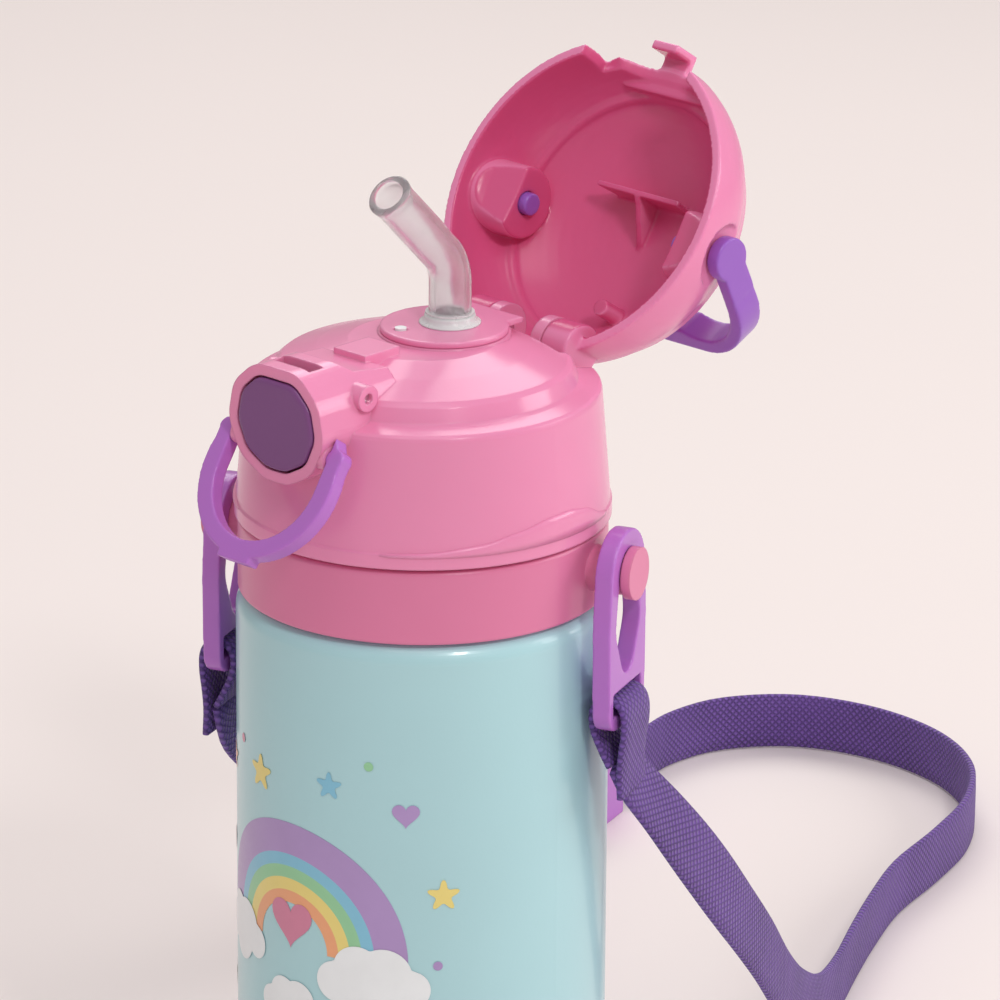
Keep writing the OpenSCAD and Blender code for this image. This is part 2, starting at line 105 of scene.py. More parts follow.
def shade(colour, factor):
    return tuple(min(1, c * factor) for c in colour[:3]) + (1,)


def addNode(tree, kind, settings=None, values=None):
    made = tree.nodes.new(kind)
    for key, value in (settings or {}).items():
        setattr(made, key, value)
    for key, value in (values or {}).items():
        made.inputs[key].default_value = value
    return made


def mathNode(tree, operation, first, second=None, third=None):
    made = addNode(tree, "ShaderNodeMath", {"operation": operation})
    for index, value in enumerate((first, second, third)):
        if value is None:
            continue
        if isinstance(value, (int, float)):
            made.inputs[index].default_value = value
        else:
            tree.links.new(value, made.inputs[index])
    return made.outputs[0]


def newGroup(name, inputs, outputs):
    group = bpy.data.node_groups.new(name, "ShaderNodeTree")
    for label, kind, value in inputs:
        socket = group.interface.new_socket(label, in_out="INPUT", socket_type=kind)
        if value is not None:
            socket.default_value = value
    for label, kind in outputs:
        group.interface.new_socket(label, in_out="OUTPUT", socket_type=kind)
    return group, group.nodes.new("NodeGroupInput"), group.nodes.new("NodeGroupOutput")


def makeGrainGroup():
    # two sizes of noise: slow drift of tone, and the fine skin that a mould leaves
    group, source, result = newGroup(
        "mouldGrain",
        [("Drift Scale", "NodeSocketFloat", 30.0), ("Grain Scale", "NodeSocketFloat", 1500.0)],
        [("Drift", "NodeSocketFloat"), ("Grain", "NodeSocketFloat")],
    )
    place = addNode(group, "ShaderNodeTexCoord")
    for label, detail in (("Drift", 3.0), ("Grain", 2.0)):
        noise = addNode(group, "ShaderNodeTexNoise", values={"Detail": detail, "Roughness": 0.55})
        group.links.new(place.outputs["Object"], noise.inputs["Vector"])
        group.links.new(source.outputs[label + " Scale"], noise.inputs["Scale"])
        group.links.new(noise.outputs["Fac"], result.inputs[label])
    return group


def makeEdgeGroup():
    # 1 where the surface turns sharply outwards, where the plastic is painted lighter
    group, source, result = newGroup(
        "edgeLighten",
        [("Low", "NodeSocketFloat", 0.52), ("High", "NodeSocketFloat", 0.62)],
        [("Edge", "NodeSocketFloat")],
    )
    form = addNode(group, "ShaderNodeNewGeometry")
    ramp = addNode(group, "ShaderNodeMapRange")
    group.links.new(form.outputs["Pointiness"], ramp.inputs["Value"])
    group.links.new(source.outputs["Low"], ramp.inputs["From Min"])
    group.links.new(source.outputs["High"], ramp.inputs["From Max"])
    group.links.new(ramp.outputs["Result"], result.inputs["Edge"])
    return group


def makeWeaveGroup():
    # crossed yarns laid on the slant, from a map whose units are metres
    group, source, result = newGroup(
        "webbingWeave",
        [("Yarn", "NodeSocketFloat", 0.0011)],
        [("Height", "NodeSocketFloat"), ("Tone", "NodeSocketFloat")],
    )
    flat = addNode(group, "ShaderNodeUVMap", {"uv_map": "clothMap"})
    split = addNode(group, "ShaderNodeSeparateXYZ")
    group.links.new(flat.outputs["UV"], split.inputs[0])
    across = mathNode(group, "ABSOLUTE", split.outputs["X"])
    slantLength = 1.414  # how much longer the slant is than the width it crosses
    along = split.outputs["Y"]
    slantOne = mathNode(group, "ADD", across, along)
    slantTwo = mathNode(group, "SUBTRACT", along, across)
    waves = []
    for slant in (slantOne, slantTwo):
        turns = mathNode(group, "DIVIDE", slant, source.outputs["Yarn"])
        waves.append(mathNode(group, "SINE", mathNode(group, "MULTIPLY", turns, math.pi / slantLength)))
    both = mathNode(group, "MULTIPLY", waves[0], waves[1])
    group.links.new(mathNode(group, "ABSOLUTE", both), result.inputs["Height"])
    group.links.new(mathNode(group, "MULTIPLY_ADD", both, 0.5, 0.5), result.inputs["Tone"])
    return group


groups = {"grain": makeGrainGroup(), "edge": makeEdgeGroup(), "weave": makeWeaveGroup()}


def newMaterial(name):
    material = bpy.data.materials.new(name)
    material.use_nodes = True
    tree = material.node_tree
    tree.nodes.clear()
    shader = tree.nodes.new("ShaderNodeBsdfPrincipled")
    output = tree.nodes.new("ShaderNodeOutputMaterial")
    tree.links.new(shader.outputs[0], output.inputs["Surface"])
    return material, tree, shader


def useGroup(tree, name, **values):
    made = tree.nodes.new("ShaderNodeGroup")
    made.node_tree = groups[name]
    for key, value in values.items():
        made.inputs[key.replace("_", " ")].default_value = value
    return made


def blendColours(tree, factor, first, second):
    mix = addNode(tree, "ShaderNodeMix", {"data_type": "RGBA"})
    tree.links.new(factor, mix.inputs["Factor"])
    for socket, value in (("A", first), ("B", second)):
        target = [s for s in mix.inputs if s.name == socket and s.type == "RGBA"][0]
        if isinstance(value, tuple):
            target.default_value = value
        else:
            tree.links.new(value, target)
    return [s for s in mix.outputs if s.type == "RGBA"][0]


def ranged(tree, value, low, high, fromLow=0.2, fromHigh=0.8):
    made = addNode(
        tree, "ShaderNodeMapRange", {"interpolation_type": "SMOOTHSTEP"},
        {"From Min": fromLow, "From Max": fromHigh, "To Min": low, "To Max": high},
    )
    tree.links.new(value, made.inputs["Value"])
    return made.outputs["Result"]


def addBump(tree, shader, height, distance, strength=1.0, edgeRadius=0.0):
    bump = addNode(tree, "ShaderNodeBump", values={"Strength": strength, "Distance": distance})
    if edgeRadius:
        rounded = addNode(tree, "ShaderNodeBevel", {"samples": 6}, {"Radius": edgeRadius})
        tree.links.new(rounded.outputs["Normal"], bump.inputs["Normal"])
    tree.links.new(height, bump.inputs["Height"])
    tree.links.new(bump.outputs["Normal"], shader.inputs["Normal"])


def insideShadeMask(tree, centre):
    # 1 on faces that look towards the centre, 0 on faces that look away from it; it places the painted shade
    # inside a hollow
    place = addNode(tree, "ShaderNodeTexCoord")
    offset = addNode(tree, "ShaderNodeVectorMath", {"operation": "SUBTRACT"})
    tree.links.new(place.outputs["Object"], offset.inputs[0])
    offset.inputs[1].default_value = centre
    facing = addNode(tree, "ShaderNodeVectorMath", {"operation": "DOT_PRODUCT"})
    tree.links.new(offset.outputs["Vector"], facing.inputs[0])
    tree.links.new(place.outputs["Normal"], facing.inputs[1])
    return ranged(tree, facing.outputs["Value"], 1, 0, *plasticFacts["insideShadeFade"])


plasticFacts = {
    "drift": 28.0,
    "grain": 1400.0,
    "grainDepth": 0.00003,
    "grainStrength": 0.35,
    "tones": (0.98, 1.02),
    "edgeLift": 1.12,
    "edgeShare": 0.12,
    "glossSpread": (-0.015, 0.02),
    "index": 1.49,
    "scatter": (1.0, 0.6, 0.7),
    "scatterDepth": 0.002,
    "insideShadeFade": (-0.006, 0.004),  # metres, from a face looking in to one looking out
}


def mouldedPlastic(name, colour, gloss=0.3, soft=0.0, edgeRadius=0.0, deep=None, centre=None):
    facts = plasticFacts
    material, tree, shader = newMaterial(name)
    skin = useGroup(tree, "grain", Drift_Scale=facts["drift"], Grain_Scale=facts["grain"])
    edge = useGroup(tree, "edge")
    dark, pale = (shade(colour, share) for share in facts["tones"])
    cloudy = blendColours(tree, ranged(tree, skin.outputs["Drift"], 0, 1), dark, pale)
    # sharp outward edges are painted a little lighter than the rest
    edgeLighterShare = mathNode(tree, "MULTIPLY", edge.outputs["Edge"], facts["edgeShare"])
    tone = blendColours(tree, edgeLighterShare, cloudy, shade(colour, facts["edgeLift"]))
    # deep is a painted shade colour, laid on the faces that look into the hollow round centre
    if deep:
        tone = blendColours(tree, insideShadeMask(tree, centre), tone, deep)
    tree.links.new(tone, shader.inputs["Base Color"])
    low, high = (gloss + share for share in facts["glossSpread"])
    tree.links.new(ranged(tree, skin.outputs["Drift"], low, high), shader.inputs["Roughness"])
    shader.inputs["IOR"].default_value = facts["index"]
    if soft:
        shader.inputs["Subsurface Weight"].default_value = soft
        shader.inputs["Subsurface Radius"].default_value = facts["scatter"]
        shader.inputs["Subsurface Scale"].default_value = facts["scatterDepth"]
    addBump(tree, shader, skin.outputs["Grain"], facts["grainDepth"], facts["grainStrength"], edgeRadius)
    return material


def plainSkin(name, colour, facts):
    # a tone that drifts a little, which the coat, the soft parts and the inks all start from
    material, tree, shader = newMaterial(name)
    skin = useGroup(tree, "grain", Drift_Scale=facts["drift"], Grain_Scale=facts["grain"])
    dark, pale = (shade(colour, share) for share in facts["tones"])
    tone = blendColours(tree, ranged(tree, skin.outputs["Drift"], 0, 1), dark, pale)
    tree.links.new(tone, shader.inputs["Base Color"])
    return material, tree, shader, skin


coatFacts = {
    "drift": 18.0,
    "grain": 900.0,
    "tones": (0.97, 1.02),
    "gloss": (0.27, 0.34),
    "clearCoat": 0.35,
    "clearGloss": 0.12,
    "peelDepth": 0.00004,
    "peelStrength": 0.4,
}


def coatedSteel(name, colour):
    # powder coat with a fine orange peel under a clear gloss
    facts = coatFacts
    material, tree, shader, skin = plainSkin(name, colour, facts)
    tree.links.new(ranged(tree, skin.outputs["Drift"], *facts["gloss"]), shader.inputs["Roughness"])
    shader.inputs["Coat Weight"].default_value = facts["clearCoat"]
    shader.inputs["Coat Roughness"].default_value = facts["clearGloss"]
    addBump(tree, shader, skin.outputs["Grain"], facts["peelDepth"], facts["peelStrength"])
    return material


steelFacts = {
    "colour": (0.62, 0.63, 0.65, 1),
    "lines": (60.0, 60.0, 2600.0),  # streaks a metre along each axis
    "rough": 0.28,
    "spread": (-0.06, 0.1),
    "detail": 4.0,
    "tones": (0.85, 1.1),
    "scratchDepth": 0.00002,
    "scratchStrength": 0.4,
}


def brushedSteel(name, colour=steelFacts["colour"], lines=steelFacts["lines"], rough=steelFacts["rough"]):
    facts = steelFacts
    material, tree, shader = newMaterial(name)
    place = addNode(tree, "ShaderNodeTexCoord")
    stretch = addNode(tree, "ShaderNodeMapping", values={"Scale": lines})
    tree.links.new(place.outputs["Object"], stretch.inputs["Vector"])
    streaks = addNode(tree, "ShaderNodeTexNoise", values={"Scale": 1.0, "Detail": facts["detail"]})
    tree.links.new(stretch.outputs["Vector"], streaks.inputs["Vector"])
    dark, pale = (shade(colour, share) for share in facts["tones"])
    tone = blendColours(tree, ranged(tree, streaks.outputs["Fac"], 0, 1), dark, pale)
    tree.links.new(tone, shader.inputs["Base Color"])
    low, high = (rough + share for share in facts["spread"])
    tree.links.new(ranged(tree, streaks.outputs["Fac"], low, high), shader.inputs["Roughness"])
    shader.inputs["Metallic"].default_value = 1.0
    addBump(tree, shader, streaks.outputs["Fac"], facts["scratchDepth"], facts["scratchStrength"])
    return material


siliconeFacts = {
    "drift": 160.0,
    "grain": 1800.0,
    "tones": (0.96, 1.04),
    "spread": (-0.05, 0.06),
    "index": 1.41,
    "rippleDepth": 0.0002,
    "rippleStrength": 0.25,
}


def clearSilicone(name, colour, rough, clear):
    facts = siliconeFacts
    material, tree, shader, skin = plainSkin(name, colour, facts)
    low, high = (rough + share for share in facts["spread"])
    tree.links.new(ranged(tree, skin.outputs["Drift"], low, high), shader.inputs["Roughness"])
    shader.inputs["IOR"].default_value = facts["index"]
    shader.inputs["Transmission Weight"].default_value = clear
    addBump(tree, shader, skin.outputs["Drift"], facts["rippleDepth"], facts["rippleStrength"])
    return material


rubberFacts = {
    "drift": 45.0,
    "grain": 2400.0,
    "tones": (0.92, 1.06),
    "spread": (-0.05, 0.08),
    "grainDepth": 0.00006,
    "grainStrength": 0.5,
}


def softRubber(name, colour, rough=0.55):
    facts = rubberFacts
    material, tree, shader, skin = plainSkin(name, colour, facts)
    low, high = (rough + share for share in facts["spread"])
    tree.links.new(ranged(tree, skin.outputs["Drift"], low, high), shader.inputs["Roughness"])
    addBump(tree, shader, skin.outputs["Grain"], facts["grainDepth"], facts["grainStrength"])
    return material


webbingFacts = {
    "yarn": 0.0011,
    "drift": 60.0,
    "grain": 2600.0,
    "crownTop": 0.75,
    "wear": 0.35,
    "wearLift": 1.25,
    "rough": (0.55, 0.75),
    "sheen": 0.12,
    "sheenSpread": 0.4,
    "fuzz": 0.18,
    "yarnDepth": 0.0004,
    "yarnStrength": 0.9,
}


def wovenWebbing(name, dark, light):
    facts = webbingFacts
    material, tree, shader = newMaterial(name)
    weave = useGroup(tree, "weave", Yarn=facts["yarn"])
    skin = useGroup(tree, "grain", Drift_Scale=facts["drift"], Grain_Scale=facts["grain"])
    # the dips between yarns take the dark tone as painted shade, the yarn crowns the lit tone
    crown = ranged(tree, weave.outputs["Height"], 0, 1, 0.0, facts["crownTop"])
    yarns = blendColours(tree, crown, dark, light)
    worn = ranged(tree, skin.outputs["Drift"], 0, facts["wear"])
    tone = blendColours(tree, worn, yarns, shade(light, facts["wearLift"]))
    tree.links.new(tone, shader.inputs["Base Color"])
    tree.links.new(ranged(tree, skin.outputs["Grain"], *facts["rough"]), shader.inputs["Roughness"])
    shader.inputs["Sheen Weight"].default_value = facts["sheen"]
    shader.inputs["Sheen Roughness"].default_value = facts["sheenSpread"]
    fuzz = mathNode(tree, "MULTIPLY_ADD", skin.outputs["Grain"], facts["fuzz"], weave.outputs["Height"])
    addBump(tree, shader, fuzz, facts["yarnDepth"], facts["yarnStrength"])
    return material


inkFacts = {
    "drift": 90.0,
    "grain": 1500.0,
    "tones": (0.96, 1.03),
    "rough": (0.3, 0.4),
    "clearCoat": 0.3,
    "clearGloss": 0.15,
    "grainDepth": 0.00003,
    "grainStrength": 0.3,
}


def printedInk(name, colour):
    facts = inkFacts
    material, tree, shader, skin = plainSkin(name, colour, facts)
    tree.links.new(ranged(tree, skin.outputs["Grain"], *facts["rough"]), shader.inputs["Roughness"])
    shader.inputs["Coat Weight"].default_value = facts["clearCoat"]
    shader.inputs["Coat Roughness"].default_value = facts["clearGloss"]
    addBump(tree, shader, skin.outputs["Grain"], facts["grainDepth"], facts["grainStrength"])
    return material


palette = {
    "capPink": paint(236, 144, 184),
    "collarPink": paint(224, 126, 166),
    "lidPink": paint(238, 140, 184),
    # a darker pink painted as shade on the inside of the lid
    "lidInsideShade": paint(220, 92, 142),
    "linerPink": paint(246, 190, 214),
    "lilac": paint(186, 114, 204),
    "handleViolet": paint(154, 96, 196),
    "plum": paint(126, 72, 130),
    "coat": paint(176, 218, 224),
    # the webbing's shaded and lit tones; the weave paints the shaded one into the dips between yarns
    "cloth": paint(74, 48, 112),
    "clothCrownLit": paint(118, 82, 166),
}

# the middle of the open lid's room, towards which the lid's inside faces get painted shade
lidHollow = nodes["flip_lid"].matrix_world.inverted() @ Vector((0, 0.0483, 0.1874))
finishes = {
    "cap": mouldedPlastic("pinkCapPlastic", palette["capPink"], 0.19, 0.12, 0.0005),
    "collar": mouldedPlastic("deepPinkPlastic", palette["collarPink"], 0.33, 0.08, 0.0004),
    "lid": mouldedPlastic(
        "pinkLidPlastic", palette["lidPink"], 0.24, 0.15, deep=palette["lidInsideShade"], centre=lidHollow
    ),
    "liner": mouldedPlastic("palePinkPlastic", palette["linerPink"], 0.4),
    "hook": mouldedPlastic("lilacPlastic", palette["lilac"], 0.24, soft=0.1),
    "handle": mouldedPlastic("violetPlastic", palette["handleViolet"], 0.28, soft=0.1),
    "button": mouldedPlastic("plumPlastic", palette["plum"], 0.3, soft=0.05),
    "acetal": mouldedPlastic("greyAcetal", (0.55, 0.55, 0.58, 1), 0.42),
    "body": coatedSteel("paleBlueCoat", palette["coat"]),
    "steel": brushedSteel("brushedSteel"),
    "pin": brushedSteel("pinSteel", (0.66, 0.66, 0.68, 1), (900.0, 90.0, 90.0), 0.22),
    "clear": clearSilicone("clearSilicone", (0.97, 0.95, 0.97, 1), 0.14, 0.86),
    "frosted": clearSilicone("frostedSilicone", (1, 0.98, 1, 1), 0.25, 0.3),
    "straw": clearSilicone("strawPlastic", (0.88, 0.9, 0.93, 1), 0.3, 0.6),
    "white": softRubber("whiteSilicone", (0.84, 0.84, 0.85, 1), 0.45),
    "rubber": softRubber("greyRubber", (0.09, 0.09, 0.1, 1)),
    "cloth": wovenWebbing("violetWebbing", palette["cloth"], palette["clothCrownLit"]),
    "thread": softRubber("violetThread", paint(96, 66, 140), 0.6),
}
print("materials ready:", len(finishes))


nodeFinish = {
    "base_pad": "rubber", "base_plate": "steel", "outer_shell": "body", "inner_flask": "steel",
    "collar_ring": "collar", "strap_hook_right": "hook", "strap_hook_left": "hook",
    "strap_webbing": "cloth", "strap_slider": "hook", "cap_gasket": "white", "cap_body": "cap",
    "cap_liner": "liner", "spout_ring": "cap", "vent_valve": "white", "mouthpiece_base": "frosted",
    "mouthpiece_tip": "clear", "straw_tube": "straw", "release_button": "button",
    "button_spring": "pin", "latch_catch": "acetal", "latch_pin": "pin", "lock_bail": "hook",
    "hinge_pin_right": "pin", "hinge_pin_left": "pin", "flip_lid": "lid", "carry_handle": "handle",
}
# moulded pieces are remeshed in small steps (mm) and relaxed, which rounds their edges
roundings = {
    "flip_lid": (0.3, 5), "lock_bail": (0.22, 12), "carry_handle": (0.24, 14),
    "strap_hook_right": (0.22, 14), "strap_hook_left": (0.22, 14), "strap_slider": (0.2, 6),
    "release_button": (0.25, 36), "spout_ring": (0.2, 5), "latch_catch": (0.2, 3),
}
roundingFacts = {
    "weldGap": 0.000004,
    "keepShare": 0.45,  # share of the remeshed faces that stays
    "evenPasses": 3,
}


def dressNode(name):
    piece = nodes[name]
    piece.data.materials.clear()
    piece.data.materials.append(finishes[nodeFinish[name]])
    for face in piece.data.polygons:
        face.use_smooth = True
    if name not in roundings:
        return
    step, passes = roundings[name]
    weld = piece.modifiers.new("weld", "WELD")
    weld.merge_threshold = roundingFacts["weldGap"]
    remesh = piece.modifiers.new("round", "REMESH")
    remesh.mode = "VOXEL"
    remesh.voxel_size = step * mm
    remesh.use_smooth_shade = True
    relax = piece.modifiers.new("relax", "SMOOTH")
    relax.factor, relax.iterations = 0.5, passes
    thin = piece.modifiers.new("thin", "DECIMATE")
    thin.ratio = roundingFacts["keepShare"]
    even = piece.modifiers.new("even", "SMOOTH")
    even.factor, even.iterations = 0.5, roundingFacts["evenPasses"]


for nodeName in sorted(nodes):
    dressNode(nodeName)
print("nodes dressed:", len(nodes))


def newPiece(name, vertices, faces, finish, body=None, uvs=None):
    mesh = bpy.data.meshes.new(name)
    mesh.from_pydata([tuple(v) for v in vertices], [], faces)
    mesh.validate()
    mesh.update()
    for face in mesh.polygons:
        face.use_smooth = True
    if uvs:
        layer = mesh.uv_layers.new(name="clothMap")
        for loop in mesh.loops:
            layer.data[loop.index].uv = uvs[loop.vertex_index]
    piece = bpy.data.objects.new(name, mesh)
    bpy.context.scene.collection.objects.link(piece)
    mesh.materials.append(finishes[finish])
    if body:
        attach(piece, body)
    return piece


def smoothRoute(points, step):
    # a Catmull-Rom line through the points, sampled about every step
    points = [Vector(p) for p in points]
    padded = [points[0] * 2 - points[1]] + points + [points[-1] * 2 - points[-2]]
    line = []
    for i in range(1, len(padded) - 2):
        a, b, c, d = padded[i - 1:i + 3]
        parts = max(2, round((c - b).length / step))
        for k in range(parts):
            t = k / parts
            square = (2 * a - 5 * b + 4 * c - d) * t * t
            cube = (3 * b - a - 3 * c + d) * t ** 3
            line.append(0.5 * (2 * b + (c - a) * t + square + cube))
    line.append(points[-1])
    return line


bandFacts = {
    "edgeAngles": (-67.5, -22.5, 22.5, 67.5),
    "edgeShare": 0.8,  # how far a rounded edge stands out, as a share of half the thickness
    "faceStops": (0.5, 0, -0.5),
    "crown": 1.02,
}


def sweepBand(name, line, widthAt, width, thick, finish):
    # a flat band with rounded edges; widthAt(i, direction) gives the way across at point i
    facts = bandFacts
    half, edge = width / 2, thick / 2
    bulge = edge * facts["edgeShare"]
    section = []
    for side in (1, -1):
        for degrees in facts["edgeAngles"]:
            angle = math.radians(degrees) * side
            section.append((side * (half - bulge) + bulge * math.cos(angle) * side, edge * math.sin(angle)))
        for across in facts["faceStops"]:
            section.append((side * across * half, side * edge * facts["crown"]))
    count = len(section)
    vertices, faces, uvs = [], [], []
    run = 0.0
    for i, point in enumerate(line):
        ahead = (line[min(i + 1, len(line) - 1)] - line[max(i - 1, 0)]).normalized()
        across = widthAt(i, ahead)
        across = (across - ahead * across.dot(ahead)).normalized()
        normal = across.cross(ahead)
        if i:
            run += (point - line[i - 1]).length
        for u, v in section:
            vertices.append(point + across * u + normal * v)
            uvs.append((u, run))
    for i in range(len(line) - 1):
        for k in range(count):
            a, b = i * count + k, i * count + (k + 1) % count
            faces.append((a, b, b + count, a + count))
    last = (len(line) - 1) * count
    faces.append(tuple(range(count - 1, -1, -1)))
    faces.append(tuple(range(last, last + count)))
    return newPiece(name, vertices, faces, finish, uvs=uvs)


strapFacts = {
    "route": [
        (37.6, 14.4, 97), (38.2, 17.6, 91), (39.3, 25, 82), (39.6, 35, 70), (37.8, 46.5, 57),
        (33, 60.5, 43), (26, 75, 29), (17, 91, 17.5), (8, 107, 9.5), (-1, 123, 6.5), (-10, 139, 6.5),
        (-18, 154, 6.5), (-26, 171, 6.5), (-32, 191, 6.5), (-39, 209, 6.5), (-51, 225, 6.5),
        (-68, 235, 6.5), (-88, 237, 6.5), (-106, 231, 6.5), (-117, 218, 6.5), (-119.5, 204, 6.5),
        (-117, 191, 6.5), (-110, 171, 6.5), (-103, 150, 6.5), (-96, 127, 8), (-88, 103, 14),
        (-79, 79, 25), (-70, 56, 39), (-61, 34, 55), (-51, 13, 71), (-43, -3, 83),
        (-38.5, -12, 91), (-37.5, -14.5, 97),
    ],
    "width": 12.5,
    "thick": 1.5,
    "step": 3.5,
    "twistOver": 55,  # how far from each hook the band turns from flat to on edge
}
slotAcross = Vector((-math.sin(studAngle), math.cos(studAngle), 0))


def strapWay(line, facts):
    lengths = [0.0]
    for i in range(1, len(line)):
        lengths.append(lengths[-1] + (line[i] - line[i - 1]).length)
    total = lengths[-1]

    def across(i, ahead):
        side = ahead.cross(Vector((0, 0, 1))).normalized()
        upright = side.cross(ahead)
        near = min(lengths[i], total - lengths[i]) / (facts["twistOver"] * mm)
        share = min(1, near)
        share = share * share * (3 - 2 * share)
        return upright * share + slotAcross * (1 - share)

    return across, total


def makeStrap(facts):
    line = smoothRoute([Vector(p) * mm for p in facts["route"]], facts["step"] * mm)
    across, total = strapWay(line, facts)
    strap = sweepBand("shoulder_strap", line, across, facts["width"] * mm, facts["thick"] * mm, "cloth")
    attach(strap, "bottle")
    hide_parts("strap_webbing")
    print("strap length, m:", round(total, 3))


makeStrap(strapFacts)

loopFacts = {
    "out": [  # distance from the bottle's axis and height, round the hook's lower bar
        (40.2, 96), (38.4, 99.4), (36.8, 103.2), (36.6, 106.4), (37.6, 108.4), (39.7, 109), (41.8, 108.4),
        (42.9, 106.3), (43, 103), (42.5, 99), (42.2, 95), (42.4, 90),
    ],
    "width": 12.2,
    "thick": 1.3,
    "routeStep": 0.8,
    "blendFrom": (39, 93),
    "blendTo": (39, 102),
}
stitchFacts = {
    "rows": (92.6, 96),
    "out": 42.75,
    "count": 6,
    "pitch": 1.75,
    "ringStep": 0.3,
    "rings": 5,
    "sides": 6,
    "swell": 0.2,
    "leastSwell": 0.04,
}


def makeStrapLoop(side, facts):
    name, sign = ("right", 1) if side > 0 else ("left", -1)
    out = Vector((math.cos(studAngle), math.sin(studAngle), 0)) * sign

    def at(place):
        reach, height = place
        return out * reach * mm + Vector((0, 0, height)) * mm

    line = smoothRoute([at(place) for place in facts["out"]], facts["routeStep"] * mm)
    width, thick = facts["width"] * mm, facts["thick"] * mm
    loop = sweepBand("strap_loop_" + name, line, lambda i, ahead: slotAcross, width, thick, "cloth")
    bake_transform(loop)
    return out


def makeStitches(out, name, facts):
    # each stitch is a short spindle of rings
    sides, rings = facts["sides"], facts["rings"]
    middle = rings // 2
    vertices, faces = [], []
    for height in facts["rows"]:
        for k in range(facts["count"]):
            shift = (k - (facts["count"] - 1) / 2) * facts["pitch"] * mm
            centre = out * facts["out"] * mm + Vector((0, 0, height * mm)) + slotAcross * shift
            base = len(vertices)
            for i in range(rings):
                along = (i - middle) * facts["ringStep"] * mm
                roundness = 1 - (abs(i - middle) / (middle + 0.1)) ** 2
                swell = facts["swell"] * mm * math.sqrt(max(facts["leastSwell"], roundness))
                for j in range(sides):
                    angle = math.tau * j / sides
                    vertices.append(
                        centre + slotAcross * along + out * swell * math.cos(angle)
                        + Vector((0, 0, 1)) * swell * math.sin(angle)
                    )
            for i in range(rings - 1):
                for j in range(sides):
                    a, b = base + i * sides + j, base + i * sides + (j + 1) % sides
                    faces.append((a, b, b + sides, a + sides))
            last = base + (rings - 1) * sides
            faces.append(tuple(base + j for j in range(sides - 1, -1, -1)))
            faces.append(tuple(last + j for j in range(sides)))
    stitches = newPiece("strap_stitches_" + name, vertices, faces, "thread", "bottle")


for side in (1, -1):
    makeStitches(makeStrapLoop(side, loopFacts), "right" if side > 0 else "left", stitchFacts)
print("strap made")


spoutFacts = {
    "axisY": 7.0,
    "foot": 11.6,  # above the rim
    "rise": 6.1,
    "bend": 9.0,
    "angle": 45.0,
    "run": 19.0,
    "radius": 4.0,
    "bore": 2.8,
    "lip": 4.3,
    "lipRun": 1.6,
    "lipRise": 0.35,
    "lipInset": 0.25,
    "boreFlare": 0.3,
    "pinchAt": 2.0,  # past the start of the bend
    "pinchRun": 3.2,
    "pinchOut": 0.075,
    "pinchIn": 0.1,
    "pinchWiden": 0.8,
    "dentAt": 8.5,
    "dentRun": 2.2,
    "dentDepth": 0.05,
    "blendRise": (0.6, 5.0),
    "blendBack": -1.5,
    "steps": 64,
    "sides": 40,
}


def makeSpout(facts):
    foot = Vector((0, facts["axisY"], rimZ + facts["foot"]))
    rise, bend, turn = facts["rise"], facts["bend"], math.radians(facts["angle"])
    total = rise + bend * turn + facts["run"]
    rings = []
    for i in range(facts["steps"] + 1):
        run = total * i / facts["steps"]
        if run < rise:
            angle, y, z = 0, 0, run
        elif run < rise + bend * turn:
            angle = (run - rise) / bend
            y, z = bend * (math.cos(angle) - 1), rise + bend * math.sin(angle)
        else:
            angle, more = turn, run - rise - bend * turn
            y = bend * (math.cos(turn) - 1) - more * math.sin(turn)
            z = rise + bend * math.sin(turn) + more * math.cos(turn)
        rings.append((run, angle, foot + Vector((0, y, z))))
    vertices, faces = [], []
    sides = facts["sides"]

    def addRing(run, angle, centre, radius, inner):
        deepest = facts["pinchIn"] if inner else facts["pinchOut"]
        pinch = math.exp(-((run - rise - facts["pinchAt"]) / facts["pinchRun"]) ** 2) * deepest
        dent = math.exp(-((run - rise - facts["dentAt"]) / facts["dentRun"]) ** 2) * facts["dentDepth"]
        lipShare = max(0, 1 - (total - run) / facts["lipRun"]) ** 0.5
        lipSwell = 0.0 if inner else lipShare * (facts["lip"] - facts["radius"])
        for k in range(sides):
            t = math.tau * k / sides
            across, deep = math.cos(t), math.sin(t)
            wide = radius + lipSwell
            x = wide * across * (1 + pinch * facts["pinchWiden"])
            d = wide * deep * (1 - pinch - dent * (0.5 + 0.5 * deep))
            vertices.append(
                (centre + Vector((x, d * math.cos(angle), d * math.sin(angle)))) * mm
            )

    for run, angle, centre in rings:
        addRing(run, angle, centre, facts["radius"], False)
    # the rounded lip turns into the bore
    run, angle, centre = rings[-1]
    ahead = Vector((0, -math.sin(angle), math.cos(angle)))
    edge = centre + ahead * facts["lipRise"]
    addRing(run, angle, edge, facts["radius"] - facts["lipInset"], False)
    addRing(run, angle, edge, facts["bore"] + facts["boreFlare"], True)
    for run, angle, centre in reversed(rings):
        addRing(run, angle, centre, facts["bore"], True)
    count = len(vertices) // sides
    for i in range(count):
        for k in range(sides):
            a, b = i * sides + k, i * sides + (k + 1) % sides
            nextRing = ((i + 1) % count) * sides
            faces.append((a, b, nextRing + (k + 1) % sides, nextRing + k))
    spout = newPiece("spout_tube", vertices, faces, "clear")
    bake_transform(spout)
    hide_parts("mouthpiece_tip")


# outline of the soft lip round the spout's foot: radius, and height above the rim
spoutCollarLine = [
    (4.62, 11.8), (4.8, 11.1), (4.95, 10.5), (5.5, 10.2), (5.8, 10.02), (5.8, 9.83), (4.62, 9.83),
]


